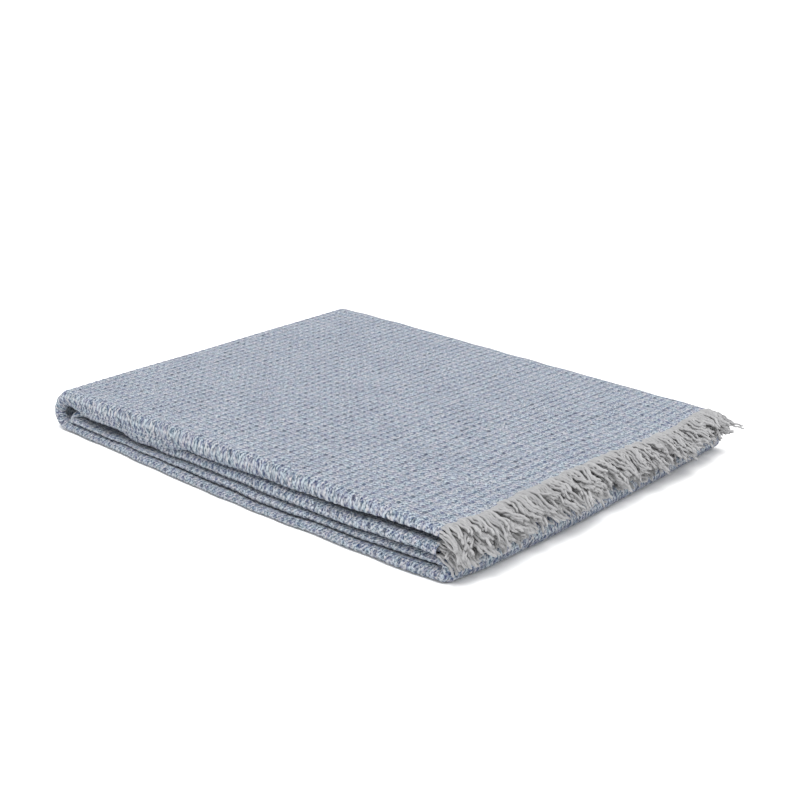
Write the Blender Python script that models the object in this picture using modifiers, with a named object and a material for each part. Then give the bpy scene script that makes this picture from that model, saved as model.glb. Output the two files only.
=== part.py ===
# Folded throw blanket with a yarn fringe on both cut ends.
#
# The cloth is first folded lengthwise in half and in half again, which gives a
# four-layer strip with a round roll along its front edge. The strip is then
# folded crosswise in half and in half again: an outer wrap at the left, an
# inner turn inside it, and a turn at the lower right. Both fringed ends lie
# one above the other at the upper right.
#
# Metres, +Z up. The origin is the middle of the folded cloth's footprint, on
# the surface it lies on. X runs along the strip, with the fringe at +X, and the
# front rolls are at -Y.

import math
import random

import bmesh
import bpy

# Cloth and fold sizes
CLOTH_THICKNESS = 0.0012
LAYER_PITCH = 0.00235
STRIP_PITCH = 0.0096
FOLDED_LENGTH = 0.420
FOLDED_WIDTH = 0.325
LOWER_TURN_REACH = 0.011
POCKET_DEPTH = 0.017
UNDER_EDGE_INSET = 0.006
INNER_EDGE_INSET = 0.003
LOWER_END_INSET = 0.002

# Sizes that follow from them
STRIP_THICKNESS = 3 * LAYER_PITCH + CLOTH_THICKNESS
LEFT_X = -FOLDED_LENGTH / 2
RIGHT_X = FOLDED_LENGTH / 2
FRONT_Y = -FOLDED_WIDTH / 2
BACK_Y = FOLDED_WIDTH / 2
STRIP_HEIGHTS = [STRIP_THICKNESS / 2 + level * STRIP_PITCH for level in range(4)]
OUTER_WRAP_RADIUS = 1.5 * STRIP_PITCH
TIGHT_TURN_RADIUS = STRIP_PITCH / 2
PILE_HEIGHT = 3 * STRIP_PITCH + 3 * LAYER_PITCH

# Fringe sizes
PARTING_GAP = 0.0003
BACKING_LENGTH = 0.004
STRANDS_PER_LAYER = 28
STRAND_SHARE = 0.50
STRAND_TAPER = 0.55
STRAND_STEPS = 3
YARN_THICKNESS = 0.0012
FRINGE_SHELF = 0.006
FRINGE_FLOOR = 0.0035
FRINGE_SWAY = 0.0018
FRINGE_LENGTH_SPREAD = 0.09
FRINGE_SEED = 7

# Height of the pile at stations along X, as a share of its nominal height: share
# of the length from the left, at the front rolls, at the back edges, and how
# much the weight above flattens the lower strips along the front.
HEIGHT_TABLE = (
    {"along": 0.00, "front": 0.90, "back": 0.94, "flattening": 0.6},
    {"along": 0.15, "front": 0.97, "back": 0.94, "flattening": 1.0},
    {"along": 0.35, "front": 1.03, "back": 0.91, "flattening": 1.0},
    {"along": 0.75, "front": 1.05, "back": 0.86, "flattening": 0.8},
    {"along": 1.00, "front": 1.05, "back": 0.83, "flattening": 0.1},
)
FLATTENING_AT_BACK = 0.2
FLATTENING_BASE = 0.19
FLATTENING_RISE = 0.43

# How far each strip of the pile lies behind the front line, in millimetres, at
# the start, middle and end of its piece of the route. A negative value stands
# proud of the line. The top and third strips run to the left, the others right.
# Towards the back the same shift fades to BACK_SETBACK_SHARE of it.
STRIP_SETBACKS = (
    {"strip": "top", "piece": 0, "start": -2.0, "middle": -2.5, "end": -1.5},
    {"strip": "bottom", "piece": 2, "start": -3.0, "middle": -8.5, "end": -5.5},
    {"strip": "third", "piece": 4, "start": -2.5, "middle": -3.5, "end": -1.5},
    {"strip": "second", "piece": 6, "start": 4.0, "middle": -1.5, "end": 1.5},
)
BACK_SETBACK_SHARE = 0.4

# Plan shape of the lower right turn, in millimetres past its nominal reach,
# at shares of the width from the front. It holds for TURN_FULL_LENGTH of cloth
# on each side of the turn's middle, and then fades over TURN_FADE_LENGTH.
LOWER_TURN_BULGE = (
    {"across": 0.00, "reach": 1.0},
    {"across": 0.12, "reach": 5.0},
    {"across": 0.35, "reach": 7.0},
    {"across": 0.70, "reach": 5.0},
    {"across": 1.00, "reach": 1.0},
)
TURN_FULL_LENGTH = 0.010
TURN_FADE_LENGTH = 0.140

# Fringe layers from the top of the pile down: reach past the backing and drop
# of the tip, in millimetres. The first four end the top strip, the last four
# the strip below it.
FRINGE_LAYERS = (
    {"reach": 28.0, "drop": 10.0},
    {"reach": 27.5, "drop": 10.5},
    {"reach": 26.5, "drop": 10.5},
    {"reach": 26.0, "drop": 11.0},
    {"reach": 21.0, "drop": 8.0},
    {"reach": 20.0, "drop": 8.0},
    {"reach": 19.5, "drop": 8.5},
    {"reach": 19.0, "drop": 8.5},
)

# How the fringe changes along its edge, as factors on its reach and its drop,
# at shares of the width from the front: steep at the front corner, and nearly
# level at the far corner.
FRINGE_POSE = (
    {"across": 0.00, "reach": 0.75, "drop": 1.90},
    {"across": 0.08, "reach": 0.92, "drop": 1.15},
    {"across": 0.50, "reach": 1.00, "drop": 1.00},
    {"across": 0.88, "reach": 1.00, "drop": 0.85},
    {"across": 1.00, "reach": 1.15, "drop": 0.45},
)

# Mesh steps
ROLL_STEPS = 6
INNER_ROLL_STEPS = 4
OUTER_WRAP_STEPS = 8
TIGHT_TURN_STEPS = 6
STRIP_STEPS = 7
OUTER_LAYER_STEPS = 4
INNER_LAYER_STEPS = 2

COLOURS = {
    "heather_cloth": (0.366, 0.407, 0.479),
    "grey_yarn": (0.45, 0.45, 0.455),
}
CLOTH_ROUGHNESS = 0.95

MM = 0.001


def smooth_step(share):
    share = min(max(share, 0.0), 1.0)
    return share * share * (3 - 2 * share)


def table_value(table, key, column, at):
    """A smooth value between the rows of a table with rising keys."""
    if at <= table[0][key]:
        return table[0][column]
    for low, high in zip(table, table[1:]):
        if at <= high[key]:
            share = (at - low[key]) / (high[key] - low[key])
            return low[column] + (high[column] - low[column]) * smooth_step(share)
    return table[-1][column]


class Route:
    """A plane curve of straight runs and half turns, walked by its length.

    Each piece is a dictionary. A straight has a start and an end. A turn has a
    centre, a radius, a start angle and a sweep.
    """

    def __init__(self, pieces):
        self.pieces = pieces
        self.starts = []
        total = 0.0
        for piece in pieces:
            self.starts.append(total)
            total += self.piece_length(piece)
        self.length = total

    @staticmethod
    def piece_length(piece):
        if "radius" in piece:
            return piece["radius"] * abs(piece["sweep"])
        return math.dist(piece["start"], piece["end"])

    def stations(self):
        """Lengths along the curve where the sheet gets a row of points."""
        marks = [0.0]
        for piece, start in zip(self.pieces, self.starts):
            length = self.piece_length(piece)
            marks += [
                start + length * (i + 1) / piece["steps"] for i in range(piece["steps"])
            ]
        return marks

    def at(self, walked):
        """Point and unit direction at a walked length; past an end it runs on straight."""
        index = len(self.pieces) - 1
        while index > 0 and walked < self.starts[index]:
            index -= 1
        piece = self.pieces[index]
        local = walked - self.starts[index]
        if "radius" in piece:
            turned = local / piece["radius"] * math.copysign(1, piece["sweep"])
            angle = piece["angle"] + turned
            side = math.copysign(1, piece["sweep"])
            point = (
                piece["centre"][0] + piece["radius"] * math.cos(angle),
                piece["centre"][1] + piece["radius"] * math.sin(angle),
            )
            return point, (-side * math.sin(angle), side * math.cos(angle))
        length = self.piece_length(piece)
        direction = tuple((e - s) / length for s, e in zip(piece["start"], piece["end"]))
        point = tuple(s + local * d for s, d in zip(piece["start"], direction))
        return point, direction


def straight(start, end, steps):
    return {"start": start, "end": end, "steps": steps}


def turn(centre, radius, angle, sweep, steps):
    return {
        "centre": centre,
        "radius": radius,
        "angle": math.radians(angle),
        "sweep": math.radians(sweep),
        "steps": steps,
    }


def strip_section():
    """The four nested layers of the strip: across the strip, and above its middle."""
    half, outer = 0.5 * LAYER_PITCH, 1.5 * LAYER_PITCH
    front = FRONT_Y + outer + CLOTH_THICKNESS / 2
    back = BACK_Y - half - CLOTH_THICKNESS / 2
    under_edge = BACK_Y - UNDER_EDGE_INSET
    inner_edge = BACK_Y - INNER_EDGE_INSET
    return Route([
        straight((under_edge, -outer), (front, -outer), OUTER_LAYER_STEPS),
        turn((front, 0.0), outer, -90, -180, ROLL_STEPS),
        straight((front, outer), (back, outer), OUTER_LAYER_STEPS),
        turn((back, LAYER_PITCH), half, 90, -180, INNER_ROLL_STEPS),
        straight((back, half), (front, half), INNER_LAYER_STEPS),
        turn((front, 0.0), half, 90, 180, INNER_ROLL_STEPS),
        straight((front, -half), (inner_edge, -half), INNER_LAYER_STEPS),
    ])


def strip_route():
    """The strip's middle line through the pile, from the top end to the second end."""
    bottom, third, second, top = STRIP_HEIGHTS
    wrap_x = LEFT_X + OUTER_WRAP_RADIUS + STRIP_THICKNESS / 2
    lower_x = RIGHT_X + LOWER_TURN_REACH - TIGHT_TURN_RADIUS - STRIP_THICKNESS / 2
    inner_x = (
        LEFT_X + STRIP_THICKNESS + POCKET_DEPTH + TIGHT_TURN_RADIUS + STRIP_THICKNESS / 2
    )
    return Route([
        straight((RIGHT_X, top), (wrap_x, top), STRIP_STEPS),
        turn((wrap_x, (top + bottom) / 2), OUTER_WRAP_RADIUS, 90, 180, OUTER_WRAP_STEPS),
        straight((wrap_x, bottom), (lower_x, bottom), STRIP_STEPS),
        turn((lower_x, (bottom + third) / 2), TIGHT_TURN_RADIUS, -90, 180, TIGHT_TURN_STEPS),
        straight((lower_x, third), (inner_x, third), STRIP_STEPS),
        turn((inner_x, (third + second) / 2), TIGHT_TURN_RADIUS, -90, -180, TIGHT_TURN_STEPS),
        straight((inner_x, second), (RIGHT_X - LOWER_END_INSET, second), STRIP_STEPS),
    ])


SECTION = strip_section()
ROUTE = strip_route()


def setback_rows():
    """The setbacks of the strips, as rows along the route."""
    rows = []
    for strip in STRIP_SETBACKS:
        start = ROUTE.starts[strip["piece"]]
        length = Route.piece_length(ROUTE.pieces[strip["piece"]])
        for column, share in (("start", 0.0), ("middle", 0.5), ("end", 1.0)):
            rows.append({"walked": start + share * length, "setback": strip[column]})
    return rows


SETBACK_ROWS = setback_rows()


def lower_turn_weight(walked):
    """1 at the lower right turn, fading to 0 along the two strips that meet there."""
    middle = ROUTE.starts[3] + Route.piece_length(ROUTE.pieces[3]) / 2
    return 1 - smooth_step((abs(walked - middle) - TURN_FULL_LENGTH) / TURN_FADE_LENGTH)


def flattened(share, amount):
    """Height share in the pile after the lower strips give way under the upper ones."""
    return share - amount * share * (1 - share) * (FLATTENING_BASE + FLATTENING_RISE * share)


def place(across, walked):
    """A point of the cloth's middle surface in the folded pile."""
    (y, height), _ = SECTION.at(across)
    (x, z), (dx, dz) = ROUTE.at(walked)
    x += height * dz
    z -= height * dx
    width_share = (y - FRONT_Y) / FOLDED_WIDTH
    bulge = table_value(LOWER_TURN_BULGE, "across", "reach", width_share)
    x += bulge * MM * lower_turn_weight(walked)
    along = (x - LEFT_X) / FOLDED_LENGTH
    front = table_value(HEIGHT_TABLE, "along", "front", along)
    back = table_value(HEIGHT_TABLE, "along", "back", along)
    puff = front + (back - front) * width_share
    flattening = table_value(HEIGHT_TABLE, "along", "flattening", along)
    flattening *= 1 + (FLATTENING_AT_BACK - 1) * width_share
    floor = CLOTH_THICKNESS / 2
    share = flattened((z - floor) / PILE_HEIGHT, flattening)
    setback = table_value(SETBACK_ROWS, "walked", "setback", walked)
    y += setback * MM * (1 + (BACK_SETBACK_SHARE - 1) * width_share)
    return x, y, floor + share * PILE_HEIGHT * puff


def new_object(name, mesh_builder, material):
    """An object made by a bmesh function, in the model's collection."""
    mesh = bpy.data.meshes.new(name)
    work = bmesh.new()
    mesh_builder(work)
    work.to_mesh(mesh)
    work.free()
    mesh.shade_smooth()
    made = bpy.data.objects.new(name, mesh)
    bpy.data.collections["folded_throw"].objects.link(made)
    mesh.materials.append(material)
    return made


def solidify(obj, thickness):
    """Gives an open sheet its thickness, half to each side."""
    shell = obj.modifiers.new("thickness", "SOLIDIFY")
    shell.thickness = thickness
    shell.offset = 0.0


def sheet_grid(work, across_marks, walked_marks):
    """A grid laid on the folded cloth; returns its points as rows along the strip."""
    made = bmesh.ops.create_grid(
        work,
        x_segments=len(across_marks) - 1,
        y_segments=len(walked_marks) - 1,
        size=0.5,
    )
    rows = [[None] * len(across_marks) for _ in walked_marks]
    for point in made["verts"]:
        column = round((point.co.x + 0.5) * (len(across_marks) - 1))
        row = round((point.co.y + 0.5) * (len(walked_marks) - 1))
        point.co = place(across_marks[column], walked_marks[row])
        rows[row][column] = point
    return rows


def build_cloth(work):
    sheet_grid(work, SECTION.stations(), ROUTE.stations())


def strand_cells():
    """Marks across the section for a fringe backing, and the cells that carry strands.

    Each cell that carries a strand is listed with its layer, counted from the
    strip's top side.
    """
    layer_of_straight = {0: 3, 2: 0, 4: 1, 6: 2}
    marks, cells = [0.0], []
    for index, (piece, start) in enumerate(zip(SECTION.pieces, SECTION.starts)):
        length = Route.piece_length(piece)
        if index not in layer_of_straight:
            marks += [start + length * (i + 1) / piece["steps"] for i in range(piece["steps"])]
            continue
        level = layer_of_straight[index]
        pitch = length / STRANDS_PER_LAYER
        margin = pitch * (1 - STRAND_SHARE) / 2
        stagger = pitch / 2 if level % 2 else 0.0
        for strand in range(STRANDS_PER_LAYER - level % 2):
            first = start + strand * pitch + margin + stagger
            cells.append((len(marks), level))
            marks += [first, first + pitch * STRAND_SHARE]
        marks.append(start + length)
    return marks, cells


def strand_line(root, layer, draw):
    """Middle points of a strand after its root, drooping in step with its layer."""
    across = (root.y - FRONT_Y) / FOLDED_WIDTH
    reach = layer["reach"] * MM * table_value(FRINGE_POSE, "across", "reach", across)
    drop = layer["drop"] * MM * table_value(FRINGE_POSE, "across", "drop", across)
    steepness = drop / (reach - FRINGE_SHELF) ** 2
    lowest_reach = FRINGE_SHELF + math.sqrt((root.z - FRINGE_FLOOR) / steepness)
    length = min(reach * (1 + draw.uniform(-1, 1) * FRINGE_LENGTH_SPREAD), lowest_reach)
    sway = draw.uniform(-1, 1) * FRINGE_SWAY
    points = []
    for step in range(STRAND_STEPS):
        share = (step + 1) / STRAND_STEPS
        out = length * share
        fall = steepness * max(out - FRINGE_SHELF, 0.0) ** 2
        points.append((root.x + out, root.y + sway * share, root.z - fall))
    return points


def grow_strand(work, first, last, layer, draw):
    """Extrudes one flat strand from the backing's outer edge, tapering to its tip."""
    edge = work.edges.get((first, last))
    root = (first.co + last.co) / 2
    half_width = (last.co.y - first.co.y) / 2
    for step, middle in enumerate(strand_line(root, layer, draw)):
        share = (step + 1) / STRAND_STEPS
        half = half_width * (1 - (1 - STRAND_TAPER) * share)
        made = bmesh.ops.extrude_edge_only(work, edges=[edge])["geom"]
        edge = next(item for item in made if isinstance(item, bmesh.types.BMEdge))
        ends = sorted(edge.verts, key=lambda point: point.co.y)
        signs = (-1, 1)
        for end, sign in zip(ends, signs):
            end.co = (middle[0], middle[1] + sign * abs(half), middle[2])


def build_fringe(work, end, outward, layers, turned_over):
    """A backing strip that continues the cloth's end, with strands on all four layers."""
    marks, cells = strand_cells()
    rows_at = [end + outward * PARTING_GAP, end + outward * (PARTING_GAP + BACKING_LENGTH)]
    outer_row = sheet_grid(work, marks, rows_at)[1]
    draw = random.Random(FRINGE_SEED + len(work.verts) + round(end / MM))
    for column, level in cells:
        level = 3 - level if turned_over else level
        grow_strand(work, outer_row[column], outer_row[column + 1], layers[level], draw)


def make_material(name):
    material = bpy.data.materials.new(name)
    material.use_nodes = True
    shader = material.node_tree.nodes["Principled BSDF"]
    shader.inputs["Base Color"].default_value = (*COLOURS[name], 1.0)
    shader.inputs["Roughness"].default_value = CLOTH_ROUGHNESS
    shader.inputs["Metallic"].default_value = 0.0
    return material


def clear_scene():
    for obj in list(bpy.data.objects):
        bpy.data.objects.remove(obj, do_unlink=True)


def main():
    clear_scene()
    collection = bpy.data.collections.new("folded_throw")
    bpy.context.scene.collection.children.link(collection)
    cloth_material = make_material("heather_cloth")
    yarn_material = make_material("grey_yarn")

    cloth = new_object("cloth", build_cloth, cloth_material)
    solidify(cloth, CLOTH_THICKNESS)

    top_fringe = new_object(
        "fringe_top",
        lambda work: build_fringe(work, 0.0, -1, FRINGE_LAYERS[:4], False),
        yarn_material,
    )
    lower_fringe = new_object(
        "fringe_lower",
        lambda work: build_fringe(work, ROUTE.length, 1, FRINGE_LAYERS[4:], True),
        yarn_material,
    )
    for fringe in (top_fringe, lower_fringe):
        solidify(fringe, YARN_THICKNESS)


main()
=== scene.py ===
import math

import bpy
import numpy as np
from mathutils import Matrix, Vector


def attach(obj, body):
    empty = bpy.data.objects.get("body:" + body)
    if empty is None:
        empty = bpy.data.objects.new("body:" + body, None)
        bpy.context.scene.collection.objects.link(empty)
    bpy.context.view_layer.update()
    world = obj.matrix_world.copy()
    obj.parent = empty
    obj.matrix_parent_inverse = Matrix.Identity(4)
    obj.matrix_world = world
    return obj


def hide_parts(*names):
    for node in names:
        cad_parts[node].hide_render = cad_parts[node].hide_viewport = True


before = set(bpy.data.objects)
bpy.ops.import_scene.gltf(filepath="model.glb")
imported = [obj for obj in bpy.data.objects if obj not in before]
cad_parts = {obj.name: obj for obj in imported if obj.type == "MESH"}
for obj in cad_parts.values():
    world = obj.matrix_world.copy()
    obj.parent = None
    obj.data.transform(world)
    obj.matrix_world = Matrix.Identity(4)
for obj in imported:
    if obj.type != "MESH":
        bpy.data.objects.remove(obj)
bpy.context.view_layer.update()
print("frame loaded:", ", ".join(sorted(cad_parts)))

mm = 0.001
wholeTurn = 2 * math.pi
anyPhase = (0, 6.28)


# Camera, at the photo's viewing angle.
camera = {
    "sensor": 36,  # mm
    "lens": 65.32,  # mm
    "place": (0.7587, -0.7981, 0.4241),
    "heading": 132.54,  # degrees from +X
    "downward": 19.69,
}


def addCamera(c):
    heading, downward = math.radians(c["heading"]), math.radians(c["downward"])
    forward = Vector((
        math.cos(heading) * math.cos(downward),
        math.sin(heading) * math.cos(downward),
        -math.sin(downward),
    ))
    right = forward.cross(Vector((0, 0, 1))).normalized()
    up = right.cross(forward)
    data = bpy.data.cameras.new("viewCamera")
    data.sensor_width = c["sensor"]
    data.lens = c["lens"]
    made = bpy.data.objects.new("viewCamera", data)
    bpy.context.scene.collection.objects.link(made)
    turned = Matrix((right, up, -forward)).transposed().to_4x4()
    turned.translation = Vector(c["place"])
    made.matrix_world = turned
    bpy.context.scene.camera = made


addCamera(camera)
print("camera placed")


# Shader maths: a socket that works in Python expressions.
class Signal:
    def __init__(self, tree, socket=None):
        self.tree, self.socket = tree, socket

    def put(self, kind, settings=None, sockets=None, out=0):
        # any node: its settings first, then the values or links of its sockets
        node = self.tree.nodes.new(kind)
        for name, value in (settings or {}).items():
            setattr(node, name, value)
        for key, value in (sockets or {}).items():
            if isinstance(value, Signal):
                self.tree.links.new(value.socket, node.inputs[key])
            else:
                node.inputs[key].default_value = value
        return Signal(self.tree, node.outputs[out])

    def feed(self, shader, socket):
        self.tree.links.new(self.socket, shader.inputs[socket])

    def maths(self, operation, *values):
        return self.put("ShaderNodeMath", {"operation": operation}, dict(enumerate(values)))

    def __add__(self, other):
        return self.maths("ADD", self, other)

    def __sub__(self, other):
        return self.maths("SUBTRACT", self, other)

    def __rsub__(self, other):
        return self.maths("SUBTRACT", other, self)

    def __mul__(self, other):
        return self.maths("MULTIPLY", self, other)

    def __truediv__(self, other):
        return self.maths("DIVIDE", self, other)

    def __pow__(self, other):
        return self.maths("POWER", self, other)

    __radd__, __rmul__ = __add__, __mul__

    def floor(self):
        return self.maths("FLOOR", self)

    def fract(self):
        return self.maths("FRACT", self)

    def size(self):
        return self.maths("ABSOLUTE", self)

    def sine(self):
        return self.maths("SINE", self)

    def least(self, other):
        return self.maths("MINIMUM", self, other)

    def most(self, other):
        return self.maths("MAXIMUM", self, other)

    def between(self, low, high, toLow=0.0, toHigh=1.0):
        return self.put(
            "ShaderNodeMapRange",
            {"interpolation_type": "SMOOTHSTEP"},
            {"Value": self, "From Min": low, "From Max": high, "To Min": toLow, "To Max": toHigh},
        )

    def blend(self, first, second):
        # self is the share of the second colour
        first = first if isinstance(first, Signal) else (*first, 1.0)
        second = second if isinstance(second, Signal) else (*second, 1.0)
        share, colourA, colourB, colourOut = 0, 6, 7, 2  # the node's sockets when it mixes colours
        return self.put(
            "ShaderNodeMix", {"data_type": "RGBA"},
            {share: self, colourA: first, colourB: second}, colourOut,
        )


def split(signal):
    parts = signal.put("ShaderNodeSeparateXYZ", sockets={0: signal})
    return [Signal(signal.tree, out) for out in parts.socket.node.outputs]


textile = {"specular": 0.25, "sheenRoughness": 0.6}  # of the weave and of the loose yarns


def newMaterial(name, look):
    material = bpy.data.materials.new(name)
    material.use_nodes = True
    tree = material.node_tree
    shader = tree.nodes["Principled BSDF"]
    constants = {
        "Roughness": look["roughness"],
        "Specular IOR Level": textile["specular"],
        "Sheen Weight": look["sheen"],
        "Sheen Roughness": textile["sheenRoughness"],
    }
    for socket, value in constants.items():
        shader.inputs[socket].default_value = value
    return material, Signal(tree), shader


# The weave repeats in cells: a sunk blue block, and beside it a long loop of light yarn.
weave = {
    "cellAlong": 7.3,  # mm, along the strip
    "cellAcross": 7.1,
    "wander": 0.28,  # cells that the rows wander, over long distances
    "jitter": 0.20,  # cells, from yarn to yarn
    "stray": 0.09,  # cells that a block or loop strays from its place
    "strayMix": (5.3, 3.7),  # makes one more random share out of two

    # the shapes in a cell, in shares of it; cut is how far the line through its middle cuts them
    "block": {"at": (0.25, 0.50), "half": (0.18, 0.42), "soft": 0.07, "cut": 0.6},
    "loop": {
        "at": (0.74, 0.50), "half": (0.26, 0.43), "power": 2.3,
        "rim": 0.88, "line": 0.27, "core": 0.4,
    },
    "hollow": {"edges": (0.35, 0.65), "cut": 0.8, "own": 0.7, "least": 0.2},  # inside a loop
    "rowLine": {"half": 0.06, "edges": (0.4, 1.8), "middleEdges": (0.4, 1.6)},
    "plies": {"perCell": 2, "shift": 0.125},

    "noises": {  # scale and stretch are in features per mm
        "shift": {"scale": 0.014, "detail": 1.0, "rough": 0.55},
        "jitter": {"scale": 0.5, "detail": 1.0, "rough": 0.55},
        "tint": {"scale": 0.15, "detail": 1.0, "rough": 0.55},
        "patches": {"scale": 0.03, "detail": 2.0, "rough": 0.55},
        "melange": {"scale": 0.75, "detail": 3.0, "rough": 0.75},
        "flecks": {"scale": 1.05, "detail": 1.0, "rough": 0.7},
        "knops": {"scale": 1.1, "detail": 0.0, "rough": 0.55},
        "streaksAcross": {"scale": 1.0, "detail": 2.0, "rough": 0.55, "stretch": (1.2, 0.6)},
        "streaksAlong": {"scale": 1.0, "detail": 2.0, "rough": 0.55, "stretch": (0.5, 1.3)},
        "strokes": {"scale": 1.0, "detail": 2.0, "rough": 0.75, "stretch": (0.52, 0.34)},
    },

    # the yarns' colours
    "cool": (0.472, 0.540, 0.588),
    "warm": (0.595, 0.535, 0.532),
    "violet": (0.087, 0.098, 0.185),
    "teal": (0.060, 0.112, 0.148),
    "blue": (0.020, 0.038, 0.106),
    "dark": (0.008, 0.012, 0.025),

    # how the colours mix: ranges of the noises, and weights; own is the weight of what a half
    # row of a cell is dealt, and least and most are what that starts from
    "warmth": {"tint": (0.40, 0.62), "hue": (0.5, 0.7), "share": 0.4},
    "middleTint": (0.38, 0.62),
    "speckle": {
        "melange": 0.4, "flecks": 0.35, "strokes": 0.5, "plies": 0.12, "less": 0.185,
        "edges": (0.435, 0.565), "share": 0.68,
    },
    "blueYarn": {
        "own": 0.9, "least": 0.15, "most": 1.1, "plies": 0.5, "streaks": (0.3, 0.55, 0.25, 1.0),
    },
    "darkYarn": {"blocks": (0.75, 1.0), "melange": (0.3, 0.55), "share": 0.8},
    "brightYarn": {
        "own": 0.40, "least": 0.18, "plies": 0.35,
        "rows": 0.9, "halfRows": 0.75, "rowPlies": 0.5, "rowLeast": 0.4,
        "streaks": (0.28, 0.5, 0.30, 1.0), "melange": (0.35, 0.5, 0.35, 1.0),
    },
    "shade": {"patches": (0.35, 0.7, 0.0, 0.10), "plies": 0.24},
    # painted shade in the pits among the fibres: how they are found and how far they go towards the
    # dark colour
    "shadedPits": {"flecks": 0.4, "melange": 0.6, "edges": (0.48, 0.36), "share": 0.85},
    "knops": {"edges": (0.60, 0.72), "share": 0.7},

    # heights, in mm: of the mesh, then of the bump and its parts
    "sunk": 0.34,
    "sunkSwing": 0.4,  # the dips lose twice this share at the lines between rows
    "ridge": 0.26,
    "yarnBump": 0.6,
    "bumps": {"bright": 0.8, "block": -0.35, "shadedPits": -0.3, "melange": 0.35, "hollow": -0.3},

    "roughness": 0.92,
    "sheen": 0.10,
}


def softBox(share, centre, half, soft):
    # 1 inside and 0 outside, with soft edges
    return 1 - (share - centre).size().between(half - soft, half + soft)


def softLine(distance, half, edges):
    return 1 - distance.between(half * edges[0], half * edges[1])


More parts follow.
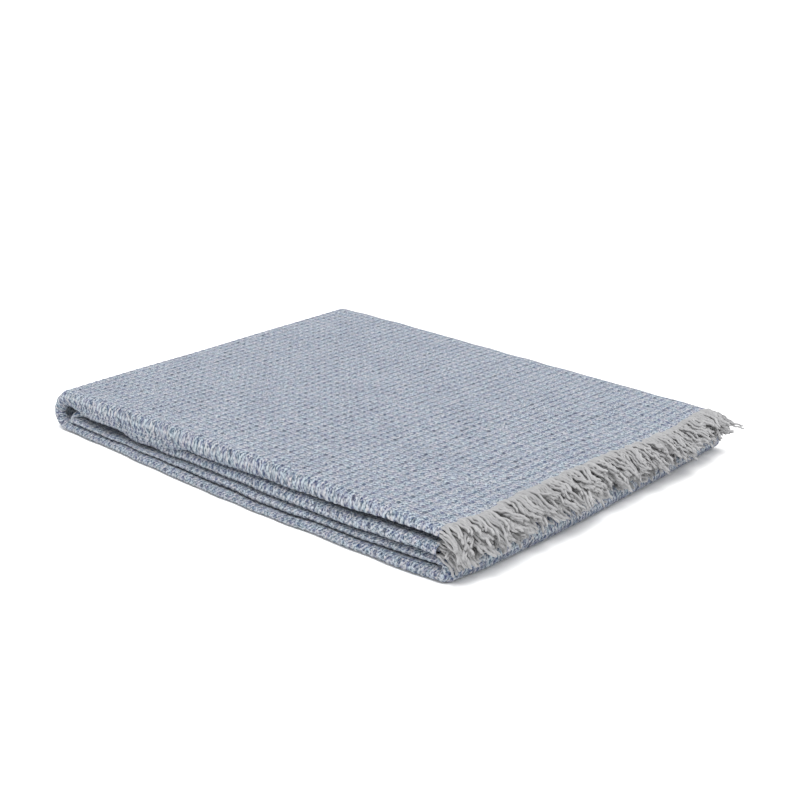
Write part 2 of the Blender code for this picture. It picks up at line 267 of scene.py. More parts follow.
def weaveMaterial(w):
    material, start, shader = newMaterial("heatherWeave", w)
    place = start.put("ShaderNodeAttribute", {"attribute_name": "weavePlace"}, out="Vector")

    def noise(name, out=0):
        kind, where = w["noises"][name], place
        if "stretch" in kind:
            stretch = (*kind["stretch"], 1.0)
            where = start.put("ShaderNodeMapping", sockets={0: place, "Scale": stretch})
        looks = {"Scale": kind["scale"], "Detail": kind["detail"], "Roughness": kind["rough"]}
        return start.put(
            "ShaderNodeTexNoise", {"noise_dimensions": "2D"}, {"Vector": where, **looks}, out
        )

    # the place in a cell, and what each half row of a cell is dealt
    along, across, _ = split(place)
    shiftU, shiftV, _ = split(noise("shift", "Color"))
    jitterU, jitterV, hue = split(noise("jitter", "Color"))
    cellU = along / w["cellAlong"] + (shiftU - 0.5) * w["wander"] + (jitterU - 0.5) * w["jitter"]
    cellV = across / w["cellAcross"] + (shiftV - 0.5) * w["wander"] + (jitterV - 0.5) * w["jitter"]
    cell = start.put("ShaderNodeCombineXYZ", sockets={0: cellU.floor(), 1: (cellV * 2).floor()})
    strength, deepness, loopness = split(
        start.put("ShaderNodeTexWhiteNoise", {"noise_dimensions": "2D"}, {"Vector": cell}, "Color")
    )
    own = (strength * w["strayMix"][0] + deepness * w["strayMix"][1]).fract()
    shareU = cellU.fract() + (own - 0.5) * w["stray"]
    shareV = cellV.fract()
    melange, flecks, strokes = noise("melange"), noise("flecks"), noise("strokes")
    streaksAcross, streaksAlong = noise("streaksAcross"), noise("streaksAlong")
    tintA, tintB, _ = split(noise("tint", "Color"))

    # the shapes in a cell
    box, oval, hole, line = w["block"], w["loop"], w["hollow"], w["rowLine"]
    rows = softLine(shareV.least(1 - shareV), line["half"], line["edges"])
    halfRows = softLine((shareV - 0.5).size(), line["half"], line["middleEdges"])
    block = softBox(shareU, box["at"][0], box["half"][0], box["soft"])
    block = block * softBox(shareV, box["at"][1], box["half"][1], box["soft"])
    block = block * (1 - halfRows * box["cut"])
    loopU = ((shareU - oval["at"][0]) / oval["half"][0]).size()
    loopV = ((shareV - oval["at"][1]) / oval["half"][1]).size()
    reach = (loopU ** oval["power"] + loopV ** oval["power"]) ** (1 / oval["power"])
    loop = 1 - (reach - oval["rim"]).size().between(oval["line"] * oval["core"], oval["line"])
    hollow = (1 - reach.between(*hole["edges"])) * (1 - halfRows * hole["cut"])
    twisted = (cellU + cellV + w["plies"]["shift"]) * (wholeTurn * w["plies"]["perCell"])
    plies = twisted.sine() * 0.5 + 0.5

    # the ground: light yarn speckled over a middle blue
    warm, fine = w["warmth"], w["speckle"]
    warmth = tintA.between(*warm["tint"]) * warm["share"] + hue.between(*warm["hue"]) * warm["share"]
    lightYarn = warmth.blend(w["cool"], w["warm"])
    middle = tintB.between(*w["middleTint"]).blend(w["teal"], w["violet"])
    speckle = melange * fine["melange"] + flecks * fine["flecks"] + strokes * fine["strokes"]
    speckle = (speckle + plies * fine["plies"] - fine["less"]).between(*fine["edges"])
    coloured = (speckle * fine["share"]).blend(middle, lightYarn)

    # blue and dark yarn in the blocks and inside the loops
    blue, dark = w["blueYarn"], w["darkYarn"]
    blueShare = block * (strength * blue["own"] + blue["least"])
    blueShare = blueShare * (blue["most"] - plies * blue["plies"])
    blueShare = blueShare * streaksAcross.between(*blue["streaks"])
    coloured = blueShare.least(1.0).blend(coloured, w["blue"])
    deep = block * deepness.between(*dark["blocks"]) * melange.between(*dark["melange"])
    coloured = (deep * dark["share"]).blend(coloured, w["dark"])
    coloured = (hollow * (loopness * hole["own"] + hole["least"])).blend(coloured, w["blue"])

    # light yarn on the loops and on the lines between rows
    light = w["brightYarn"]
    bright = loop * (loopness * light["own"] + light["least"] + plies * light["plies"])
    lines = rows * light["rows"] + halfRows * light["halfRows"]
    bright = bright.most(lines * (plies * light["rowPlies"] + light["rowLeast"]))
    bright = bright * streaksAlong.between(*light["streaks"]) * melange.between(*light["melange"])
    coloured = bright.least(1.0).blend(coloured, lightYarn)

    # shade in patches and between the plies, painted shade in the pits among the fibres, and light
    # knops
    shade, pit, knop = w["shade"], w["shadedPits"], w["knops"]
    tone = noise("patches").between(*shade["patches"]) + (1 - plies) * shade["plies"]
    coloured = tone.blend(coloured, w["blue"])
    # painted shade: the pits among the fibres are blended towards the dark colour, away from the
    # light loops
    shadedPits = (flecks * pit["flecks"] + melange * pit["melange"]).between(*pit["edges"])
    shadedPits = (1 - bright.least(1.0)) * shadedPits
    coloured = (shadedPits * pit["share"]).blend(coloured, w["dark"])
    knops = (1 - block) * noise("knops").between(*knop["edges"])
    coloured = (knops * knop["share"]).blend(coloured, lightYarn)
    coloured.feed(shader, "Base Color")

    bumps = w["bumps"]
    height = bright * bumps["bright"] + block * bumps["block"] + shadedPits * bumps["shadedPits"]
    height = height + melange * bumps["melange"] + hollow * bumps["hollow"]
    bump = start.put("ShaderNodeBump", sockets={"Distance": w["yarnBump"] * mm, "Height": height})
    bump.feed(shader, "Normal")
    return material


yarn = {
    "light": (0.40, 0.40, 0.405),
    "shade": (0.285, 0.285, 0.293),
    "plies": 2,
    "turns": 0.13,  # per mm
    "fibres": (0.5, 6.0, 40.0),  # features per mm, per turn and from yarn to yarn
    "fibreDetail": 3.0,
    "mix": {"fuzz": 0.6, "twist": 0.35, "own": 0.35},
    "range": (0.25, 1.0),  # of the mix, from shade to light
    "bump": 0.18,  # mm
    "fuzzBump": 0.5,
    "roughness": 0.95,
    "sheen": 0.15,
}


def yarnMaterial(y):
    material, start, shader = newMaterial("greyYarn", y)
    place = start.put("ShaderNodeAttribute", {"attribute_name": "yarnPlace"}, out="Vector")
    along, around, own = split(place)
    twisted = (along * y["turns"] + around) * (wholeTurn * y["plies"])
    twist = twisted.sine() * 0.5 + 0.5
    fibres = start.put("ShaderNodeMapping", sockets={0: place, "Scale": y["fibres"]})
    fuzz = start.put(
        "ShaderNodeTexNoise", sockets={"Vector": fibres, "Scale": 1.0, "Detail": y["fibreDetail"]}
    )
    mix = y["mix"]
    tone = fuzz * mix["fuzz"] + twist * mix["twist"] + own * mix["own"]
    tone.between(*y["range"]).blend(y["shade"], y["light"]).feed(shader, "Base Color")
    height = twist + fuzz * y["fuzzBump"]
    bump = start.put("ShaderNodeBump", sockets={"Distance": y["bump"] * mm, "Height": height})
    bump.feed(shader, "Normal")
    return material


heatherWeave = weaveMaterial(weave)
greyYarn = yarnMaterial(yarn)
print("materials made")


# The fold, as in the solids: metres where no unit is given.
fold = {
    "clothThickness": 0.0012,
    "layerPitch": 0.00235,
    "stripPitch": 0.0096,
    "length": 0.420,
    "width": 0.325,
    "lowerTurnReach": 0.011,
    "pocketDepth": 0.017,
    "underEdgeInset": 0.006,
    "innerEdgeInset": 0.003,
    "lowerEndInset": 0.002,
    "selvedgeRadius": 0.00055,
    "selvedgeReturn": 0.004,
    "heights": (
        {"along": 0.00, "front": 0.90, "back": 0.94, "flattening": 0.6},
        {"along": 0.15, "front": 0.97, "back": 0.94, "flattening": 1.0},
        {"along": 0.35, "front": 1.03, "back": 0.91, "flattening": 1.0},
        {"along": 0.75, "front": 1.05, "back": 0.86, "flattening": 0.8},
        {"along": 1.00, "front": 1.05, "back": 0.83, "flattening": 0.1},
    ),
    "flatteningAtBack": 0.2,
    "flatteningBase": 0.19,
    "flatteningRise": 0.43,
    "setbacks": {  # mm behind the front line, at shares of each strip's length
        "topStrip": ((0.0, -2.0), (0.5, -2.5), (1.0, -1.5)),
        "bottomStrip": ((0.0, -3.0), (0.5, -8.5), (0.94, -5.8), (1.0, -3.0)),
        "lowerStrip": ((0.0, -0.5), (0.06, -2.5), (0.5, -3.5), (1.0, -1.5)),
        "upperStrip": (
            (0.0, 4.0), (0.10, 9.0), (0.28, 1.0), (0.5, -1.5), (0.8, -3.0), (1.0, -4.5),
        ),
    },
    "backSetbackShare": 0.4,
    "wrapLoft": 3.0,  # mm that the outer wrap stands thicker at its front
    "innerLean": 10.0,  # mm that the inner turn's lower side leans towards the outer wrap
    "lowerTurnBulge": (  # mm
        {"across": -0.02, "reach": -4.0},
        {"across": 0.03, "reach": 1.5},
        {"across": 0.12, "reach": 5.0},
        {"across": 0.35, "reach": 7.0},
        {"across": 0.70, "reach": 5.0},
        {"across": 1.00, "reach": 1.0},
    ),
    "topRollSag": (  # mm that the top roll hangs over the one under it
        {"along": 0.03, "sag": 0.0},
        {"along": 0.11, "sag": 6.5},
        {"along": 0.19, "sag": 5.5},
        {"along": 0.25, "sag": 9.0},
        {"along": 0.31, "sag": 8.5},
        {"along": 0.41, "sag": 0.0},
        {"along": 0.66, "sag": 0.0},
        {"along": 0.88, "sag": -2.2},
        {"along": 1.00, "sag": -2.8},
    ),
    "creaseShares": (0.0, 0.19, 0.41, 0.70, 1.0),  # heights of the creases in the pile's front
    "creaseShifts": (  # mm that the front creases between the strips lie lower
        {"along": 0.00, "low": 0.0, "middle": 0.0, "high": 0.0},
        {"along": 0.15, "low": 0.0, "middle": 3.2, "high": 2.5},
        {"along": 0.31, "low": 0.0, "middle": 4.5, "high": 3.5},
        {"along": 0.48, "low": 1.2, "middle": 2.5, "high": 4.0},
        {"along": 0.63, "low": 2.6, "middle": 3.4, "high": 3.0},
        {"along": 0.77, "low": 0.5, "middle": 3.0, "high": 2.8},
        {"along": 1.00, "low": -1.2, "middle": 1.0, "high": 1.7},
    ),
    "endBow": (  # mm that the cloth's fringed ends stand out
        {"across": 0.00, "reach": 3.5},
        {"across": 0.10, "reach": 7.0},
        {"across": 0.30, "reach": 3.5},
        {"across": 0.50, "reach": 3.0},
        {"across": 0.72, "reach": 6.0},
        {"across": 1.00, "reach": 0.0},
    ),
    "rollFullness": (  # how much squarer than round the rolls are
        {"along": 0.0, "full": 0.12},
        {"along": 0.2, "full": 0.39},
        {"along": 0.7, "full": 0.36},
        {"along": 1.0, "full": 0.18},
    ),
    # how far each change is full, and over what distance it then fades
    "reaches": {
        "wrap": (0.012, 0.03),  # from the middle of the outer wrap, along the cloth
        "wrapFront": (0.0, 0.03),  # from the front line
        "sag": (0.002, 0.009),
        "crease": (0.006, 0.04),
        "lowerTurn": (0.01, 0.14),  # from the middle of the lower turn
        "innerTurn": (0.01, 0.05),
        "end": (0.0, 0.07),  # from a fringed end
    },
    "lift": 0.6,  # mm from the middle of the cloth to its face
    "wobble": 0.55,  # mm, unevenness of the rolls
    "wobbleFade": 6,  # it ends at a sixth of the width
    "endWave": 0.8,  # mm, unevenness of the fringed ends
    "endWaves": 3,  # its waves are a third as long as the others
    "swell": 0.45,  # mm, unevenness of the top
    "swellFrom": 0.7,  # share of the height
    "seeds": {"rolls": 11, "strips": 12, "top": 21, "ends": 41},
}
waves = {"lengths": (0.045, 0.07, 0.11), "leastTurn": 0.6}  # of the unevenness


def smoothShare(share):
    share = np.clip(share, 0, 1)
    return share * share * (3 - 2 * share)


def fading(distance, reach):
    # 1 up to the first distance of the reach, and then down to 0 over the second
    full, fade = reach
    return 1 - smoothShare((distance - full) / fade)


def tableValue(rows, key, column, at):
    # a smooth curve through the rows of a table
    keys = np.array([row[key] for row in rows])
    values = np.array([row[column] for row in rows])
    at = np.asarray(at, float)
    low = np.clip(np.searchsorted(keys, at) - 1, 0, len(keys) - 2)
    share = smoothShare((at - keys[low]) / (keys[low + 1] - keys[low]))
    return values[low] + (values[low + 1] - values[low]) * share


class Route:
    # named straight runs and half turns, walked by their length
    def __init__(self, start, heading, pieces, spacing=0.0002):
        point, angle = np.array(start, float), math.radians(heading)
        walked, points, angles, self.spans = [0.0], [point], [angle], {}
        for name, piece in pieces.items():
            began = walked[-1]
            run, radius, sweep = piece.get("run"), piece.get("radius"), piece.get("sweep", 0)
            long = run if run else radius * math.radians(abs(sweep))
            steps = max(2, math.ceil(long / spacing))
            for _ in range(steps):
                turned = math.radians(sweep) / steps
                middle = angle + turned / 2
                point = point + long / steps * np.array((math.cos(middle), math.sin(middle)))
                angle += turned
                walked.append(walked[-1] + long / steps)
                points.append(point)
                angles.append(angle)
            self.spans[name] = (began, walked[-1])
        self.length = walked[-1]
        self.walked, self.points, self.angles = map(np.array, (walked, points, angles))

    def middle(self, name):
        return sum(self.spans[name]) / 2

    def at(self, walked):
        # past either end it goes straight on
        walked = np.asarray(walked, float)
        past = walked - np.clip(walked, 0, self.length)
        angle = np.interp(walked, self.walked, self.angles)
        first = np.interp(walked, self.walked, self.points[:, 0]) + past * np.cos(angle)
        second = np.interp(walked, self.walked, self.points[:, 1]) + past * np.sin(angle)
        return first, second, angle


def foldRoutes(f):
    pitch, half, outer = f["layerPitch"], f["layerPitch"] / 2, f["layerPitch"] * 1.5
    frontY, backY = -f["width"] / 2, f["width"] / 2
    frontTurn = frontY + outer + f["clothThickness"] / 2
    backTurn = backY - half - f["clothThickness"] / 2
    underEdge, innerEdge = backY - f["underEdgeInset"], backY - f["innerEdgeInset"]
    hem, back = f["selvedgeRadius"], f["selvedgeReturn"]
    # across the cloth, from its edge under the strip to its innermost edge
    section = Route((underEdge - back, 2 * hem - outer), 0, {
        "underReturn": {"run": back},
        "underHem": {"radius": hem, "sweep": -180},
        "underLayer": {"run": underEdge - frontTurn},
        "frontRoll": {"radius": outer, "sweep": -180},
        "face": {"run": backTurn - frontTurn},
        "backFold": {"radius": half, "sweep": -180},
        "innerLayer": {"run": backTurn - frontTurn},
        "innerFold": {"radius": half, "sweep": 180},
        "innermostLayer": {"run": innerEdge - frontTurn},
        "innermostHem": {"radius": hem, "sweep": 180},
        "innermostReturn": {"run": back},
    })
    thick = 3 * pitch + f["clothThickness"]
    top = thick / 2 + 3 * f["stripPitch"]
    leftX, rightX = -f["length"] / 2, f["length"] / 2
    wrap, tight = 1.5 * f["stripPitch"], f["stripPitch"] / 2
    wrapX = leftX + wrap + thick / 2
    lowerX = rightX + f["lowerTurnReach"] - tight - thick / 2
    innerX = leftX + thick + f["pocketDepth"] + tight + thick / 2
    # along the cloth, from the top fringe to the lower one
    strips = Route((rightX, top), 180, {
        "topStrip": {"run": rightX - wrapX},
        "outerWrap": {"radius": wrap, "sweep": 180},
        "bottomStrip": {"run": lowerX - wrapX},
        "lowerTurn": {"radius": tight, "sweep": 180},
        "lowerStrip": {"run": lowerX - innerX},
        "innerTurn": {"radius": tight, "sweep": -180},
        "upperStrip": {"run": rightX - f["lowerEndInset"] - innerX},
    })
    return section, strips


section, strips = foldRoutes(fold)
frontY = -fold["width"] / 2
halfStrip = 1.5 * fold["layerPitch"]  # from a strip's middle to its outer layers
pileHeight = 3 * fold["stripPitch"] + 3 * fold["layerPitch"]


def setbackRows(f):
    rows = []
    for strip, shares in f["setbacks"].items():
        start, end = strips.spans[strip]
        for share, setback in shares:
            rows.append({"walked": start + share * (end - start), "setback": setback})
    return rows


setbacks = setbackRows(fold)


def unevenness(a, b, seed):
    # a few long waves, the same on every run
    draw = np.random.default_rng(seed)
    total = 0.0
    for wave in waves["lengths"]:
        turnA, turnB, phase = draw.uniform(-1, 1), draw.uniform(-1, 1), draw.uniform(*anyPhase)
        across = a * (waves["leastTurn"] + abs(turnA)) + b * turnB
        total = total + np.sin(wholeTurn * across / wave + phase)
    return total / len(waves["lengths"])


def weaveRelief(along, across, w):
    # mm, in step with the cells of the weave's material
    turnU, turnV = wholeTurn * (along / w["cellAlong"]), wholeTurn * (across / w["cellAcross"])
    sunk = w["sunk"] * np.sin(turnU) * (1 - w["sunkSwing"] - w["sunkSwing"] * np.cos(turnV))
    return w["ridge"] * np.cos(turnV) - sunk


def rollSag(f, across, walked):
    # mm that the underside of the top roll hangs over the next one
    y, height, _ = section.at(across)
    along = (strips.at(walked)[0] + f["length"] / 2) / f["length"]
    onTop = walked < strips.spans["topStrip"][1]
    sag = tableValue(f["topRollSag"], "along", "sag", along) * onTop
    return sag * smoothShare(-height / halfStrip) * fading(y - frontY, f["reaches"]["sag"])


def place(f, across, walked, lift=0.0):
    # where a point of the flat cloth comes to lie; lift is in mm off its face
    reaches, seeds = f["reaches"], f["seeds"]

    # the section: thicker at the outer wrap, and squarer than round in the rolls
    y, height, angle = section.at(across)
    low = smoothShare(-height / halfStrip)
    wrapped = fading(abs(walked - strips.middle("outerWrap")), reaches["wrap"])
    height = height - f["wrapLoft"] * mm * low * wrapped * fading(y - frontY, reaches["wrapFront"])
    y = y - lift * mm * np.sin(angle)
    height = height + lift * mm * np.cos(angle)
    x, z, heading = strips.at(walked)
    full = tableValue(f["rollFullness"], "along", "full", (x + f["length"] / 2) / f["length"])
    level = np.clip(height / (halfStrip + f["lift"] * mm), -1, 1)
    height = height * (1 + full * (1 - level**2))
    x = x + height * np.sin(heading)
    z = z - height * np.cos(heading)
    width = (y - frontY) / f["width"]

    # the turns and the fringed ends, along X
    nearTurn = fading(abs(walked - strips.middle("lowerTurn")), reaches["lowerTurn"])
    x = x + tableValue(f["lowerTurnBulge"], "across", "reach", width) * mm * nearTurn
    nearInner = fading(abs(walked - strips.middle("innerTurn")), reaches["innerTurn"])
    start, end = strips.spans["innerTurn"]
    upperSide = smoothShare((walked - start) / (end - start))
    x = x - f["innerLean"] * mm * nearInner * (1 - upperSide)
    toEnd = np.minimum(np.maximum(walked, 0), np.maximum(strips.length - walked, 0))
    bow = tableValue(f["endBow"], "across", "reach", width)
    bow = bow + f["endWave"] * unevenness(y * f["endWaves"], y * 0, seeds["ends"])
    x = x + bow * mm * fading(toEnd, reaches["end"])

    # the pile's height, with the lower strips flattened by the upper ones
    along = (x + f["length"] / 2) / f["length"]
    front = tableValue(f["heights"], "along", "front", along)
    back = tableValue(f["heights"], "along", "back", along)
    puff = front + (back - front) * width
    flattening = tableValue(f["heights"], "along", "flattening", along)
    flattening = flattening * (1 + (f["flatteningAtBack"] - 1) * width)
    ground = f["clothThickness"] / 2
    share = (z - ground) / pileHeight
    give = f["flatteningBase"] + f["flatteningRise"] * share
    share = share - flattening * share * (1 - share) * give
    z = ground + share * pileHeight * puff

    # how far each strip lies behind the front line
    setback = tableValue(setbacks, "walked", "setback", walked)
    nearRolls = smoothShare(1 - width * f["wobbleFade"])
    setback = setback + f["wobble"] * unevenness(x, walked * 0, seeds["rolls"]) * nearRolls
    setback = setback + f["wobble"] * unevenness(walked, x * 0, seeds["strips"]) * nearRolls
    y = y + setback * mm * (1 + (f["backSetbackShare"] - 1) * width)

    # the creases in the front, the top roll's hanging fold and the uneven top
    nearFront = fading(y - frontY, reaches["crease"])
    levels = f["creaseShares"]
    for i, crease in enumerate(("low", "middle", "high")):
        rise = (share - levels[i]) / (levels[i + 1] - levels[i])
        fall = (levels[i + 2] - share) / (levels[i + 2] - levels[i + 1])
        tent = np.clip(np.minimum(rise, fall), 0, 1)
        z = z - tableValue(f["creaseShifts"], "along", crease, along) * mm * tent * nearFront
    z = z - rollSag(f, across, walked) * mm
    upper = smoothShare((share - f["swellFrom"]) / (1 - f["swellFrom"]))
    z = z + f["swell"] * mm * unevenness(x, y, seeds["top"]) * upper
    return np.stack([x, y, z], -1)


def meshPiece(name, points, faces, material, attribute, values):
    mesh = bpy.data.meshes.new(name)
    mesh.from_pydata(points.tolist(), [], faces)
    layer = mesh.attributes.new(attribute, "FLOAT_VECTOR", "POINT")
    layer.data.foreach_set("vector", values.astype(np.float32).ravel())
    mesh.materials.append(material)
    mesh.shade_smooth()
    made = bpy.data.objects.new(name, mesh)
    bpy.context.scene.collection.objects.link(made)
    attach(made, "root")
    return made


# The cloth: one sheet, finer where it shows.
clothMesh = {  # mm between points
    "fine": 1.7,  # on the top, the outer wrap and the lower turn
    "roll": 1.35,  # round the front rolls
    "rollAlong": 2.1,  # along the rolls where only they show
    "hidden": 18.0,
    "hem": 0.6,
    "hemReturn": 2.0,
    "backFold": 0.8,
    "innerFold": 1.2,
    "innerLayer": 60.0,
    "innerTurn": 2.5,
    "rollMargin": 6.0,  # mm beyond the rolls that is as fine
    "turnMargins": (14.0, 7.0),  # mm beyond the outer turns, on the bottom strip and above it
    "hiddenStep": 4,  # hidden parts have every fourth mark along
    "edgeRelief": 0.5,  # share of the relief where a fine part meets a coarse one
}


def marks(start, end, spacing):
    slack = 1e-6  # a hair's breadth over a whole number of steps adds no step
    count = max(1, math.ceil((end - start) / (spacing * mm) - slack))
    return np.linspace(start, end, count + 1)


def joinMarks(*lists):
    return np.unique(np.round(np.concatenate(lists), 9))


class Sheet:
    # gathers blocks of the grid; points that two blocks share are kept once
    def __init__(self, edgeRelief):
        self.edgeRelief = edgeRelief
        self.keys, self.across, self.walked, self.relief, self.faces = {}, [], [], [], []

    def point(self, across, walked, relief):
        key = (round(across * 1e7), round(walked * 1e7))  # to a tenth of a micron
        if key not in self.keys:
            self.keys[key] = len(self.across)
            self.across.append(across)
            self.walked.append(walked)
            self.relief.append(relief)
        return self.keys[key]

    def block(self, acrossMarks, walkedMarks, relief):
        lastAcross, lastWalked = len(acrossMarks) - 1, len(walkedMarks) - 1
        atEdge = min(relief, self.edgeRelief)
        grid = [
            [
                self.point(a, w, relief if 0 < i < lastAcross and 0 < j < lastWalked else atEdge)
                for i, a in enumerate(acrossMarks)
            ]
            for j, w in enumerate(walkedMarks)
        ]
        for low, high in zip(grid, grid[1:]):
            for i in range(lastAcross):
                self.faces.append((low[i], low[i + 1], high[i + 1], high[i]))


def clothPiece(m):
    s, t = section.spans, strips.spans
    rollStart, rollEnd = s["frontRoll"]
    rollStart, rollEnd = rollStart - m["rollMargin"] * mm, rollEnd + m["rollMargin"] * mm
    # across: the hem and under layer, the front roll, the face, the back fold and the inner layers
    under = joinMarks(
        marks(*s["underReturn"], m["hemReturn"]), marks(*s["underHem"], m["hem"]),
        marks(s["underLayer"][0], rollStart, m["hidden"]),
    )
    roll = marks(rollStart, rollEnd, m["roll"])
    faceFine = marks(rollEnd, s["face"][1], m["fine"])
    faceCoarse = marks(rollEnd, s["face"][1], m["hidden"])
    backFold = marks(*s["backFold"], m["backFold"])
    inner = joinMarks(
        marks(*s["innerLayer"], m["innerLayer"]), marks(*s["innerFold"], m["innerFold"]),
        marks(*s["innermostLayer"], m["innerLayer"]), marks(*s["innermostHem"], m["hem"]),
        marks(*s["innermostReturn"], m["hemReturn"]),
    )
    # along: the top strip and the outer wrap, the bottom strip, the lower turn, and the rest
    before, past = (margin * mm for margin in m["turnMargins"])
    wrapEnd = t["outerWrap"][1] + before
    turnStart, turnEnd = t["lowerTurn"][0] - before, t["lowerTurn"][1] + past
    bottom = joinMarks(marks(wrapEnd, turnStart, m["hidden"]))
    rest = joinMarks(
        marks(turnEnd, t["lowerStrip"][1], m["hidden"]), marks(*t["innerTurn"], m["innerTurn"]),
        marks(*t["upperStrip"], m["hidden"]),
    )
    # where each range starts and ends, and the wide marks of those that don't show
    ranges = (
        (0.0, wrapEnd, None), (wrapEnd, turnStart, bottom),
        (turnStart, turnEnd, None), (turnEnd, strips.length, rest),
    )
    sheet = Sheet(m["edgeRelief"])
    for start, end, hidden in ranges:
        shows = hidden is None
        fine = marks(start, end, m["fine"] if shows else m["rollAlong"])
        if hidden is rest:
            fine = joinMarks(fine, rest)
        sheet.block(roll, fine, 1.0)
        sheet.block(faceFine if shows else faceCoarse, fine if shows else hidden, float(shows))
        medium = joinMarks(fine[::m["hiddenStep"]], fine[-1:])
        sheet.block(under, medium, 0.0)
        sheet.block(backFold, fine if shows else medium, m["edgeRelief"])
        sheet.block(inner, medium, 0.0)
    across, walked = np.array(sheet.across), np.array(sheet.walked)
    alongCells, acrossCells = walked / mm, across / mm - rollSag(fold, across, walked)
    relief = np.array(sheet.relief) * weaveRelief(alongCells, acrossCells, weave)
    outside = (across < s["innerLayer"][0]).astype(float)
    points = place(fold, across, walked, fold["lift"] * outside + relief)
    points[:, 2] = np.maximum(points[:, 2], 0.0)  # nothing sinks into the floor
    values = np.stack([alongCells, acrossCells, walked * 0], -1)
    piece = meshPiece(
        "wovenThrow", points, sheet.faces, heatherWeave, "weavePlace", values
    )
    print("cloth:", len(points), "points,", len(sheet.faces) * 2, "triangles")
    return piece


wovenThrow = clothPiece(clothMesh)
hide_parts("cloth")


# The fringe: crimped yarns in loose twisted locks, on every layer of both cut ends.
fringe = {
    "pitch": (1.75, 2.1),  # mm between yarns, on the top layer and on those under it
    "scatter": 0.25,  # mm, unevenness of that
    "pastLayer": 2.0,  # mm that the yarns go on round the folds at a layer's ends
    "pastUnder": 1.0,
    "radius": 0.94,  # mm
    "radiusSpread": (0.85, 1.15),  # from yarn to yarn
    "tip": 0.6,  # share of the radius
    "onFace": (0.0, 2.2),  # mm that a lock's yarns come out before the cloth's edge
    "rootInside": 2.0,  # mm of yarn inside the cloth's end
    "rootLifts": {"top": 0.9, "under": 0.2, "inside": -0.4},  # mm off the middle of the cloth
    "lockYarns": (3, 7),
    "gather": (0.45, 0.80),  # how narrow a lock is drawn, as a share of its root
    "lockDepth": 3.2,  # mm
    "twist": 0.30,  # most turns in a lock, either way
    "fallPower": 1.5,
    "dropSpread": (0.7, 1.1),
    "lengthSpread": 0.38,  # most that a lock is shorter than its layer's reach, as a share
    "ownLength": (0.75, 1.06),  # of a yarn, as a share of its lock
    "lean": 0.26,  # sideways, per length
    "leanPower": 1.4,
    "curl": 1.9,  # mm
    "curlTurns": {"side": 1.1, "up": 1.3},
    "curlUp": 0.5,  # share of the curl that goes up and down
    "hook": 3.2,  # mm sideways at the tip
    "hookFrom": 0.62,  # share of the length
    "hookTaken": 0.35,  # how much a hook shortens its yarn
    "crimp": 0.32,  # mm
    "crimpWave": 6.0,  # mm
    "crimpSpread": (0.8, 1.25),
    # a rate of 2 means that a change is complete halfway along a lock
    "rates": {"gather": 1.5, "depth": 2.5, "crimp": 5, "level": 2},
    "levelled": 0.6,  # share of the unevenness in height that a lock loses on its way
    "steps": 18,
    "sides": 6,
    "floor": 1.2,  # mm, the lowest that a yarn's middle comes
    # each fringe's layers from the top down, in mm; outward is its way along the cloth
    "top": {
        "layers": (
            {"reach": 29.0, "drop": 11.5},
            {"reach": 30.0, "drop": 12.5},
            {"reach": 29.0, "drop": 13.0},
            {"reach": 28.0, "drop": 13.0},
        ),
        "outward": -1, "turnedOver": False, "seed": 31,
    },
    "lower": {
        "layers": (
            {"reach": 24.0, "drop": 6.5},
            {"reach": 23.0, "drop": 7.0},
            {"reach": 22.0, "drop": 7.5},
            {"reach": 21.0, "drop": 7.5},
        ),
        "outward": 1, "turnedOver": True, "seed": 32,
    },
    "pose": (  # shelf is how far, in mm, the yarns stand out before they droop
        {"across": 0.00, "reach": 0.64, "drop": 1.60, "shelf": 0.0},
        {"across": 0.08, "reach": 0.85, "drop": 0.98, "shelf": 1.5},
        {"across": 0.30, "reach": 0.98, "drop": 0.95, "shelf": 2.0},
        {"across": 0.50, "reach": 0.95, "drop": 0.82, "shelf": 2.5},
        {"across": 0.88, "reach": 0.95, "drop": 0.50, "shelf": 3.0},
        {"across": 1.00, "reach": 1.15, "drop": 0.60, "shelf": 3.0},
    ),
}


def layerRoots(turnedOver, g):
    # where the yarns leave each of the four layers, from the strip's top side down
    s, past, pastUnder = section.spans, g["pastLayer"] * mm, g["pastUnder"] * mm
    (underStart, underEnd), (faceStart, faceEnd) = s["underLayer"], s["face"]
    innerStart, innerEnd = s["innerLayer"]
    inner, innermost = (innerStart - past, innerEnd), s["innermostLayer"]
    if turnedOver:
        under, face = (underStart, underEnd + pastUnder), (faceStart - past, faceEnd + past)
        spans = (under, innermost, inner, face)
    else:
        rollMiddle = section.middle("frontRoll")
        spans = ((rollMiddle, faceEnd + past), inner, innermost, (underStart, rollMiddle))
    return [
        np.arange(start, end, g["pitch"][min(layer, 1)] * mm)
        for layer, (start, end) in enumerate(spans)
    ]


def lockPath(t, k, g):
    # t is the share of a lock's length; k holds what the lock was dealt
    out = k["long"] * t
    beyond = np.maximum(out - k["shelf"], 0) / (k["reach"] - k["shelf"])
    hook = smoothShare((t - g["hookFrom"]) / (1 - g["hookFrom"])) * g["hook"] * mm * k["hook"]
    curl, turns = g["curl"] * mm * t, g["curlTurns"]
    side = k["lean"] * k["long"] * t ** g["leanPower"]
    side = side + curl * np.sin(wholeTurn * turns["side"] * t + k["phase"]) + hook
    up = -k["drop"] * beyond ** g["fallPower"]
    up = up + g["curlUp"] * curl * np.sin(wholeTurn * turns["up"] * t + k["phaseUp"])
    return out - g["hookTaken"] * np.abs(hook), side, up


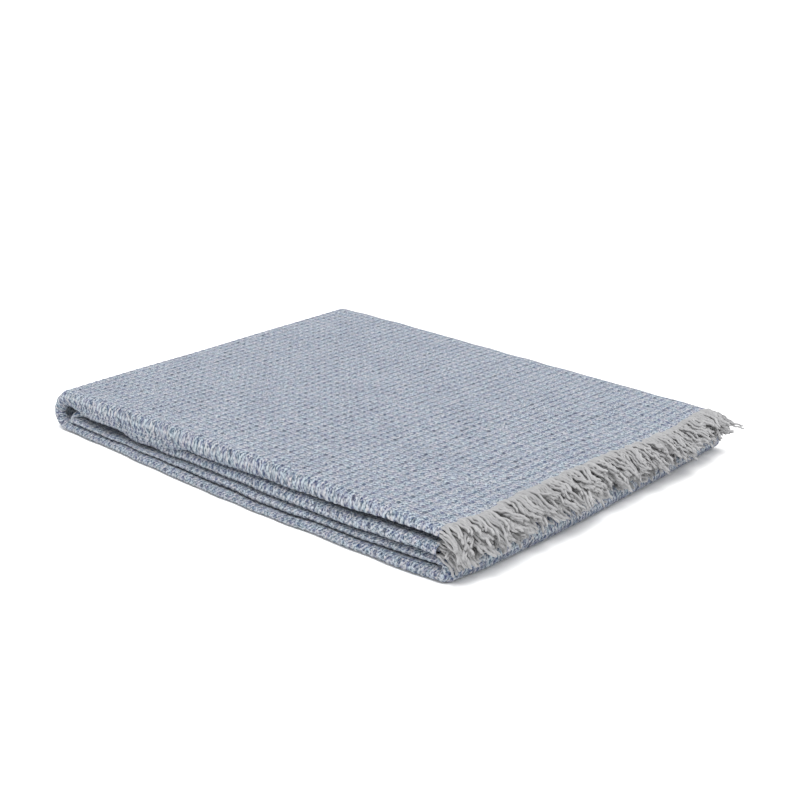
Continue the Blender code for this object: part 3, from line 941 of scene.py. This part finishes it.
def layerPaths(layer, roots, onTop, end, outward, draw, g):
    # the middle lines of one layer's yarns, with a random share for each yarn's own tone
    count = len(roots)
    roots = roots + draw.uniform(-g["scatter"], g["scatter"], count) * mm
    sizes = draw.integers(g["lockYarns"][0], g["lockYarns"][1] + 1, count)
    lock = np.repeat(np.arange(count), sizes)[:count]
    size = np.bincount(lock)
    locks = len(size)
    onFace = draw.uniform(*g["onFace"], locks)[lock] * onTop
    lifts = g["rootLifts"]
    start = place(fold, roots, end - outward * onFace * mm, lifts["top" if onTop else "under"])
    inside = place(fold, roots, end - outward * (onFace + g["rootInside"]) * mm, lifts["inside"])
    middle = np.stack([np.bincount(lock, start[:, i]) / size for i in range(3)], -1)
    width = (middle[:, 1] - frontY) / fold["width"]
    long = layer["reach"] * mm * tableValue(g["pose"], "across", "reach", width)
    drop = layer["drop"] * mm * tableValue(g["pose"], "across", "drop", width)
    dealt = {
        "shelf": tableValue(g["pose"], "across", "shelf", width) * mm,
        "reach": long,
        "drop": drop * draw.uniform(*g["dropSpread"], locks),
        "long": long * draw.uniform(1 - g["lengthSpread"], 1, locks),
        "lean": draw.uniform(-1, 1, locks) * g["lean"],
        "hook": draw.uniform(-1, 1, locks),
        "phase": draw.uniform(*anyPhase, locks),
        "phaseUp": draw.uniform(*anyPhase, locks),
        "gather": draw.uniform(*g["gather"], locks),
        "turns": draw.uniform(-1, 1, locks) * g["twist"],
    }
    k = {name: value[lock][:, None] for name, value in dealt.items()}
    t = np.linspace(0, 1, g["steps"] + 1)[None, :] * draw.uniform(*g["ownLength"], (count, 1))
    out, side, up = lockPath(t, k, g)

    # the yarns of a lock lie side by side, and are drawn together and turned on their way
    rates = g["rates"]
    off = (start - middle[lock])[:, None]
    wide = off[..., 1] * (1 - (1 - k["gather"]) * smoothShare(t * rates["gather"]))
    deep = draw.uniform(-0.5, 0.5, (count, 1)) * g["lockDepth"] * mm
    deep = deep * smoothShare(t * rates["depth"])
    turn = wholeTurn * k["turns"] * smoothShare(t)
    wave = wholeTurn * out / (g["crimpWave"] * mm) * draw.uniform(*g["crimpSpread"], (count, 1))
    crimp = g["crimp"] * mm * smoothShare(t * rates["crimp"])
    phases = draw.uniform(*anyPhase, (2, count, 1))
    root = middle[lock][:, None]
    x = root[..., 0] + off[..., 0] + out
    y = root[..., 1] + side + wide * np.cos(turn) - deep * np.sin(turn)
    y = y + crimp * np.sin(wave + phases[0])
    z = root[..., 2] + off[..., 2] * (1 - g["levelled"] * smoothShare(t * rates["level"])) + up
    z = z + wide * np.sin(turn) + deep * np.cos(turn) + crimp * np.sin(wave + phases[1])
    z = np.maximum(z, g["floor"] * mm)
    path = np.concatenate([inside[:, None], np.stack([x, y, z], -1)], 1)
    return path, draw.uniform(0, 1, (count, 1, 1))


def yarnTubes(path, draw, g):
    # a tube round each path: its points, and the faces between its rings and over its tip
    count, rings, sides = len(path), path.shape[1], g["sides"]
    ahead = np.gradient(path, axis=1)
    ahead /= np.linalg.norm(ahead, axis=2, keepdims=True)
    sideA = np.cross(ahead, np.array((0.0, 1.0, 0.0)))
    sideA /= np.linalg.norm(sideA, axis=2, keepdims=True)
    sideB = np.cross(sideA, ahead)
    radius = g["radius"] * mm * draw.uniform(*g["radiusSpread"], (count, 1)) * np.ones((1, rings))
    radius[:, -1] *= g["tip"]
    turn = wholeTurn * np.arange(sides)[:, None] / sides
    around = np.cos(turn) * sideA[:, :, None] + np.sin(turn) * sideB[:, :, None]
    points = path[:, :, None] + radius[:, :, None, None] * around
    faces = []
    for i in range(count):
        base = i * rings * sides
        for j in range(rings - 1):
            for k in range(sides):
                a, b = base + j * sides + k, base + j * sides + (k + 1) % sides
                faces.append((a, b, b + sides, a + sides))
        last = base + (rings - 1) * sides
        faces.append(tuple(range(last, last + sides)))
    return points, faces


def yarnPlaces(path, tone, g):
    # for the yarn's material: mm along it, turns around it, and its own tone
    distance = np.linalg.norm(np.diff(path, axis=1), axis=2).cumsum(1) / mm
    distance = np.concatenate([np.zeros((len(path), 1)), distance], 1)
    turns = np.arange(g["sides"]) / g["sides"]
    return np.stack(
        np.broadcast_arrays(distance[:, :, None], turns[None, None, :], tone), -1
    )


def fringePiece(name, own, end, g):
    # own is what this fringe doesn't share with the other; end is where it is along the cloth
    draw = np.random.default_rng(own["seed"])
    made = [
        layerPaths(layer, roots, i == 0, end, own["outward"], draw, g)
        for i, (layer, roots) in enumerate(zip(own["layers"], layerRoots(own["turnedOver"], g)))
    ]
    path, tone = (np.concatenate(part) for part in zip(*made))
    points, faces = yarnTubes(path, draw, g)
    values = yarnPlaces(path, tone, g)
    piece = meshPiece(
        name, points.reshape(-1, 3), faces, greyYarn, "yarnPlace", values.reshape(-1, 3)
    )
    print(name + ":", len(path), "yarns,", sum(len(face) - 2 for face in faces), "triangles")
    return piece


topYarns = fringePiece("yarnsTop", fringe["top"], 0.0, fringe)
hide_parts("fringe_top")
lowerYarns = fringePiece("yarnsLower", fringe["lower"], strips.length, fringe)
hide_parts("fringe_lower")
print("fringe made")


# Floor and light.
studio = {
    "floor": (0.97, 0.97, 0.97),
    "floorRoughness": 0.8,
    "floorHalf": 12.0,  # metres from its middle to its edges
    "floorHeight": -0.0002,  # just under the cloth
    "world": 1.0,
    "lamps": (  # soft lamps, far away
        {"name": "overhead", "from": (0.18, -0.16, 1.0), "spread": 40, "strength": 2.85},
    ),
}


def addFloor(t):
    mesh = bpy.data.meshes.new("floor")
    signs = ((-1, -1), (1, -1), (1, 1), (-1, 1))
    corners = [(i * t["floorHalf"], j * t["floorHalf"], t["floorHeight"]) for i, j in signs]
    mesh.from_pydata(corners, [], [(0, 1, 2, 3)])
    floor = bpy.data.objects.new("floor", mesh)
    bpy.context.scene.collection.objects.link(floor)
    paint = bpy.data.materials.new("paleFloor")
    paint.use_nodes = True
    shader = paint.node_tree.nodes["Principled BSDF"]
    shader.inputs["Base Color"].default_value = (*t["floor"], 1.0)
    shader.inputs["Roughness"].default_value = t["floorRoughness"]
    mesh.materials.append(paint)


def addLight(t):
    world = bpy.data.worlds.new("studioWorld")
    world.use_nodes = True
    sky = world.node_tree.nodes["Background"]
    sky.inputs["Color"].default_value = (1.0, 1.0, 1.0, 1.0)
    sky.inputs["Strength"].default_value = t["world"]
    bpy.context.scene.world = world
    bpy.context.scene.view_settings.view_transform = "Standard"
    for lamp in t["lamps"]:
        data = bpy.data.lights.new(lamp["name"], "SUN")
        data.energy, data.angle = lamp["strength"], math.radians(lamp["spread"])
        made = bpy.data.objects.new(lamp["name"], data)
        bpy.context.scene.collection.objects.link(made)
        made.rotation_euler = (-Vector(lamp["from"])).to_track_quat("-Z", "Y").to_euler()


addFloor(studio)
addLight(studio)
print("studio lit")
